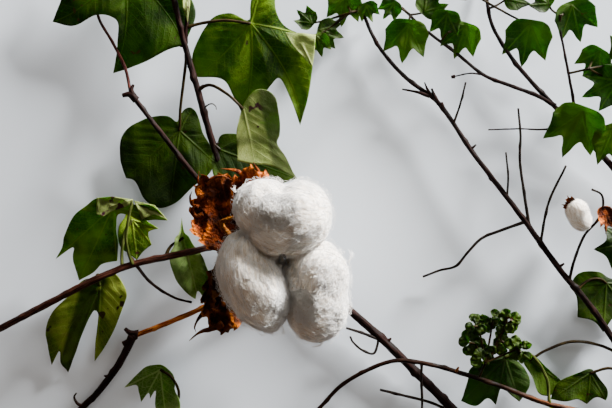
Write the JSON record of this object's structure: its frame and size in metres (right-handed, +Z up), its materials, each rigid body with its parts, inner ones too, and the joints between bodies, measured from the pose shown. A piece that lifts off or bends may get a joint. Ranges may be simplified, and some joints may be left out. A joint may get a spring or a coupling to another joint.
{
  "type": "cut cotton branch",
  "caption": "Cut cotton branch lying down: bare forking stems, lobed leaves on stalks, and an open boll of fluffy white lint in dry toothed bracts.",
  "frame": {"origin": "centre of the branch's footprint, at the level of its lowest point as it lies", "axes": "+X towards the cut end's side along the longest spread, +Y across it, +Z up, out of the open boll's side"},
  "size_m": [0.3146, 0.2832, 0.0618],
  "materials": {
    "bark": "dark weathered bark",
    "young_bark": "smooth reddish young bark",
    "leaf": "soft matt green leaf",
    "pale_leaf": "soft matt pale green leaf",
    "lint": "fluffy matt fibre",
    "bract": "dry papery brown"
  },
  "bodies": {
    "root": {"main_stem": "bark", "upper_left_bough": "bark", "top_bough": "bark", "top_twig": "bark", "left_bough": "bark", "lower_left_bough": "young_bark", "lower_left_shoot": "bark", "left_twig": "bark", "stem_twig": "bark", "withered_twig": "bark", "right_bough": "bark", "crossing_twig": "young_bark", "low_twig": "bark", "hanging_twig": "bark", "right_twig_1": "bark", "right_twig_2": "bark", "right_twig_3": "bark", "right_twig_4": "bark", "right_twig_5": "bark", "upper_right_bough": "bark", "upper_right_fork": "bark", "upper_right_shoot": "bark", "upper_right_twig": "bark", "boll_twig": "bark", "leaf_top_left": "leaf", "leaf_top": "leaf", "leaf_folded": "pale_leaf", "leaf_under": "leaf", "leaf_behind": "leaf", "leaf_left": "leaf", "leaf_young": "pale_leaf", "leaf_low_left": "pale_leaf", "leaf_by_boll": "leaf", "leaf_low": "leaf", "leaf_right_1": "pale_leaf", "leaf_right_2": "leaf", "leaf_right_3": "leaf", "leaf_right_4": "pale_leaf", "leaf_edge_1": "leaf", "leaf_edge_2": "leaf", "foliage_right_tip": "leaf", "foliage_upper_right_1": "leaf", "foliage_upper_right_2": "leaf", "foliage_upper_right_3": "leaf", "foliage_upper_right_4": "leaf", "foliage_right_edge_1": "leaf", "foliage_right_edge_2": "leaf", "foliage_low_right": "leaf", "lint_upper": "lint", "lint_left": "lint", "lint_right": "lint", "bur": "bract", "bract_upper": "bract", "bract_left": "bract", "bract_lower": "bract", "small_boll": "lint"}
  },
  "joints": []
}
